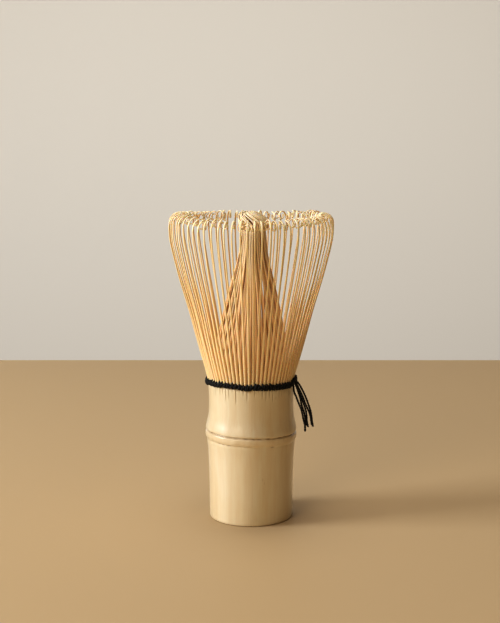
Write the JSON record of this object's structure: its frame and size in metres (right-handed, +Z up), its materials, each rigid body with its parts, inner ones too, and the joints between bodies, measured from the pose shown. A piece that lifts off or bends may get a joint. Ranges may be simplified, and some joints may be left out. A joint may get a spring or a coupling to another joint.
{
  "type": "bamboo tea whisk",
  "caption": "Bamboo tea whisk standing on its handle, with splayed outer tines curled in at the tips, a twisted cone of inner tines and a black thread binding.",
  "frame": {"origin": "centre of the handle's base ring, on the surface that the whisk stands on", "axes": "+Z up the handle towards the tine tips; +X towards the thread's knot; the pictured side faces -Y"},
  "size_m": [0.0604, 0.0604, 0.1138],
  "materials": {
    "culm_bamboo": "satin natural bamboo skin with fine vertical grain",
    "outer_tine_bamboo": "shaved bamboo, golden, semi-matt",
    "inner_tine_bamboo": "shaved bamboo, warmer, matt",
    "black_cotton": "twisted black cotton thread"
  },
  "bodies": {
    "handle": {"handle": "culm_bamboo", "thread_lower_round": "black_cotton", "thread_upper_round": "black_cotton", "thread_inner_round": "black_cotton", "thread_knot": "black_cotton", "thread_stub": "black_cotton"},
    "outer_stave_01": {"outer_stave_01": "outer_tine_bamboo"},
    "outer_stave_02": {"outer_stave_02": "outer_tine_bamboo"},
    "outer_stave_03": {"outer_stave_03": "outer_tine_bamboo"},
    "outer_stave_04": {"outer_stave_04": "outer_tine_bamboo"},
    "outer_stave_05": {"outer_stave_05": "outer_tine_bamboo"},
    "outer_stave_06": {"outer_stave_06": "outer_tine_bamboo"},
    "outer_stave_07": {"outer_stave_07": "outer_tine_bamboo"},
    "outer_stave_08": {"outer_stave_08": "outer_tine_bamboo"},
    "outer_stave_09": {"outer_stave_09": "outer_tine_bamboo"},
    "outer_stave_10": {"outer_stave_10": "outer_tine_bamboo"},
    "outer_stave_11": {"outer_stave_11": "outer_tine_bamboo"},
    "outer_stave_12": {"outer_stave_12": "outer_tine_bamboo"},
    "outer_stave_13": {"outer_stave_13": "outer_tine_bamboo"},
    "outer_stave_14": {"outer_stave_14": "outer_tine_bamboo"},
    "outer_stave_15": {"outer_stave_15": "outer_tine_bamboo"},
    "outer_stave_16": {"outer_stave_16": "outer_tine_bamboo"},
    "outer_stave_17": {"outer_stave_17": "outer_tine_bamboo"},
    "outer_stave_18": {"outer_stave_18": "outer_tine_bamboo"},
    "inner_bundle": {"inner_stave_01": "inner_tine_bamboo", "inner_stave_02": "inner_tine_bamboo", "inner_stave_03": "inner_tine_bamboo", "inner_stave_04": "inner_tine_bamboo", "inner_stave_05": "inner_tine_bamboo", "inner_stave_06": "inner_tine_bamboo", "inner_stave_07": "inner_tine_bamboo", "inner_stave_08": "inner_tine_bamboo", "inner_stave_09": "inner_tine_bamboo", "inner_stave_10": "inner_tine_bamboo", "inner_stave_11": "inner_tine_bamboo", "inner_stave_12": "inner_tine_bamboo", "inner_stave_13": "inner_tine_bamboo", "inner_stave_14": "inner_tine_bamboo", "inner_stave_15": "inner_tine_bamboo", "inner_stave_16": "inner_tine_bamboo", "inner_stave_17": "inner_tine_bamboo", "inner_stave_18": "inner_tine_bamboo"},
    "thread_tails": {"thread_tail_1": "black_cotton", "thread_tail_2": "black_cotton", "thread_tail_3": "black_cotton", "thread_tail_4": "black_cotton", "thread_tail_5": "black_cotton"}
  },
  "joints": [
    {"name": "outer_stave_01_flex", "type": "hinge", "parent": "handle", "child": "outer_stave_01", "pos_m": [0.01497, 0.00264, 0.0503], "axis": [-0.1736, 0.9848, 0], "range_deg": [-3, 5], "stiffness_Nm_per_rad": 0.02},
    {"name": "outer_stave_02_flex", "type": "hinge", "parent": "handle", "child": "outer_stave_02", "pos_m": [0.01316, 0.0076, 0.0503], "axis": [-0.5, 0.866, 0], "range_deg": [-3, 5], "stiffness_Nm_per_rad": 0.02},
    {"name": "outer_stave_03_flex", "type": "hinge", "parent": "handle", "child": "outer_stave_03", "pos_m": [0.00977, 0.01164, 0.0503], "axis": [-0.766, 0.6428, 0], "range_deg": [-3, 5], "stiffness_Nm_per_rad": 0.02},
    {"name": "outer_stave_04_flex", "type": "hinge", "parent": "handle", "child": "outer_stave_04", "pos_m": [0.0052, 0.01428, 0.0503], "axis": [-0.9397, 0.342, 0], "range_deg": [-3, 5], "stiffness_Nm_per_rad": 0.02},
    {"name": "outer_stave_05_flex", "type": "hinge", "parent": "handle", "child": "outer_stave_05", "pos_m": [0, 0.0152, 0.0503], "axis": [-1, 0, 0], "range_deg": [-3, 5], "stiffness_Nm_per_rad": 0.02},
    {"name": "outer_stave_06_flex", "type": "hinge", "parent": "handle", "child": "outer_stave_06", "pos_m": [-0.0052, 0.01428, 0.0503], "axis": [-0.9397, -0.342, 0], "range_deg": [-3, 5], "stiffness_Nm_per_rad": 0.02},
    {"name": "outer_stave_07_flex", "type": "hinge", "parent": "handle", "child": "outer_stave_07", "pos_m": [-0.00977, 0.01164, 0.0503], "axis": [-0.766, -0.6428, 0], "range_deg": [-3, 5], "stiffness_Nm_per_rad": 0.02},
    {"name": "outer_stave_08_flex", "type": "hinge", "parent": "handle", "child": "outer_stave_08", "pos_m": [-0.01316, 0.0076, 0.0503], "axis": [-0.5, -0.866, 0], "range_deg": [-3, 5], "stiffness_Nm_per_rad": 0.02},
    {"name": "outer_stave_09_flex", "type": "hinge", "parent": "handle", "child": "outer_stave_09", "pos_m": [-0.01497, 0.00264, 0.0503], "axis": [-0.1736, -0.9848, 0], "range_deg": [-3, 5], "stiffness_Nm_per_rad": 0.02},
    {"name": "outer_stave_10_flex", "type": "hinge", "parent": "handle", "child": "outer_stave_10", "pos_m": [-0.01497, -0.00264, 0.0503], "axis": [0.1736, -0.9848, 0], "range_deg": [-3, 5], "stiffness_Nm_per_rad": 0.02},
    {"name": "outer_stave_11_flex", "type": "hinge", "parent": "handle", "child": "outer_stave_11", "pos_m": [-0.01316, -0.0076, 0.0503], "axis": [0.5, -0.866, 0], "range_deg": [-3, 5], "stiffness_Nm_per_rad": 0.02},
    {"name": "outer_stave_12_flex", "type": "hinge", "parent": "handle", "child": "outer_stave_12", "pos_m": [-0.00977, -0.01164, 0.0503], "axis": [0.766, -0.6428, 0], "range_deg": [-3, 5], "stiffness_Nm_per_rad": 0.02},
    {"name": "outer_stave_13_flex", "type": "hinge", "parent": "handle", "child": "outer_stave_13", "pos_m": [-0.0052, -0.01428, 0.0503], "axis": [0.9397, -0.342, 0], "range_deg": [-3, 5], "stiffness_Nm_per_rad": 0.02},
    {"name": "outer_stave_14_flex", "type": "hinge", "parent": "handle", "child": "outer_stave_14", "pos_m": [0, -0.0152, 0.0503], "axis": [1, 0, 0], "range_deg": [-3, 5], "stiffness_Nm_per_rad": 0.02},
    {"name": "outer_stave_15_flex", "type": "hinge", "parent": "handle", "child": "outer_stave_15", "pos_m": [0.0052, -0.01428, 0.0503], "axis": [0.9397, 0.342, 0], "range_deg": [-3, 5], "stiffness_Nm_per_rad": 0.02},
    {"name": "outer_stave_16_flex", "type": "hinge", "parent": "handle", "child": "outer_stave_16", "pos_m": [0.00977, -0.01164, 0.0503], "axis": [0.766, 0.6428, 0], "range_deg": [-3, 5], "stiffness_Nm_per_rad": 0.02},
    {"name": "outer_stave_17_flex", "type": "hinge", "parent": "handle", "child": "outer_stave_17", "pos_m": [0.01316, -0.0076, 0.0503], "axis": [0.5, 0.866, 0], "range_deg": [-3, 5], "stiffness_Nm_per_rad": 0.02},
    {"name": "outer_stave_18_flex", "type": "hinge", "parent": "handle", "child": "outer_stave_18", "pos_m": [0.01497, -0.00264, 0.0503], "axis": [0.1736, 0.9848, 0], "range_deg": [-3, 5], "stiffness_Nm_per_rad": 0.02},
    {"name": "inner_bundle_flex", "type": "hinge", "parent": "handle", "child": "inner_bundle", "pos_m": [0, 0, 0.0503], "axis": [0, 1, 0], "range_deg": [-2, 2], "stiffness_Nm_per_rad": 0.3},
    {"name": "thread_tails_swing", "type": "hinge", "parent": "handle", "child": "thread_tails", "pos_m": [0.01775, -0.00377, 0.0513], "axis": [0, -1, 0], "range_deg": [-5, 60]}
  ]
}
